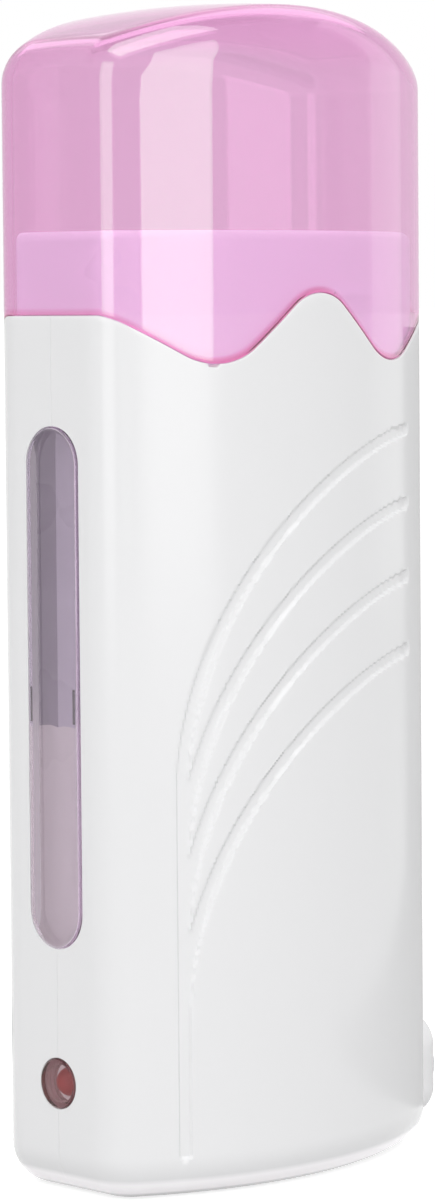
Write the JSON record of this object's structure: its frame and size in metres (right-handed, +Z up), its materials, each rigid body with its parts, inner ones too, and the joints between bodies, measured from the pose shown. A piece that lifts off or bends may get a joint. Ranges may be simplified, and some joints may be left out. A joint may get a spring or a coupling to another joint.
{
  "type": "roll-on wax heater",
  "caption": "Upright warmer for a roll-on wax cartridge: bowed white case with a wavy rim, clear lift-off cover, side sight window, pilot lamp and mains inlet.",
  "frame": {"origin": "middle of the flat base, on the upright centre line of the case", "axes": "+Z up along the case, X along the broad faces with the sight window and lamp on -X and the mains inlet on +X, -Y out of the front face"},
  "size_m": [0.0766, 0.0472, 0.1861],
  "materials": {
    "case_white": "glossy injection-moulded ABS, white",
    "cover_pink": "clear injection-moulded styrene, tinted pink",
    "sleeve_white": "heat-resistant moulded polypropylene, white",
    "lens_clear": "clear moulded polycarbonate",
    "lamp_clear": "clear moulded polycarbonate, slightly smoked",
    "led_red": "red tinted epoxy with tinned legs",
    "board_green": "glass-epoxy circuit board with green solder mask",
    "resistor_beige": "lacquered film resistor",
    "diode_black": "moulded epoxy, black",
    "plate_aluminium": "extruded aluminium, milled",
    "ptc_grey": "sintered barium titanate ceramic",
    "electrode_brass": "stamped brass strip",
    "film_amber": "polyimide film",
    "spring_steel": "stamped spring steel",
    "socket_white": "moulded nylon, white",
    "pin_nickel": "nickel-plated brass",
    "fuse_tan": "thermal cut-off with an epoxy seal and tinned leads",
    "lead_red": "silicone-insulated wire, red",
    "lead_white": "silicone-insulated wire, white",
    "screw_steel": "zinc-plated steel"
  },
  "bodies": {
    "case": {"cartridge_sleeve": "sleeve_white", "case_screws": "screw_steel", "front_shell": "case_white", "heating_plate_front": "plate_aluminium", "heating_plate_rear": "plate_aluminium", "indicator_led": "led_red", "indicator_lens": "lamp_clear", "inlet_pin_live": "pin_nickel", "inlet_pin_neutral": "pin_nickel", "inlet_socket": "socket_white", "inner_electrode_front": "electrode_brass", "inner_electrode_rear": "electrode_brass", "insulating_film_front": "film_amber", "insulating_film_rear": "film_amber", "lamp_diode": "diode_black", "lamp_resistor": "resistor_beige", "lead_fused": "lead_red", "lead_lamp_live": "lead_red", "lead_lamp_neutral": "lead_white", "lead_live": "lead_red", "lead_live_link": "lead_red", "lead_neutral": "lead_white", "lead_neutral_link": "lead_white", "led_board": "board_green", "outer_electrode_front": "electrode_brass", "outer_electrode_rear": "electrode_brass", "pressure_spring_front": "spring_steel", "pressure_spring_rear": "spring_steel", "ptc_ceramics_front": "ptc_grey", "ptc_ceramics_rear": "ptc_grey", "rear_shell": "case_white", "sight_window": "lens_clear", "thermal_fuse": "fuse_tan"},
    "lid": {"cover": "cover_pink"}
  },
  "joints": [
    {"name": "cover_lift", "type": "slide", "parent": "case", "child": "lid", "axis": [0, 0, 1], "range_m": [0, 0.06]}
  ]
}
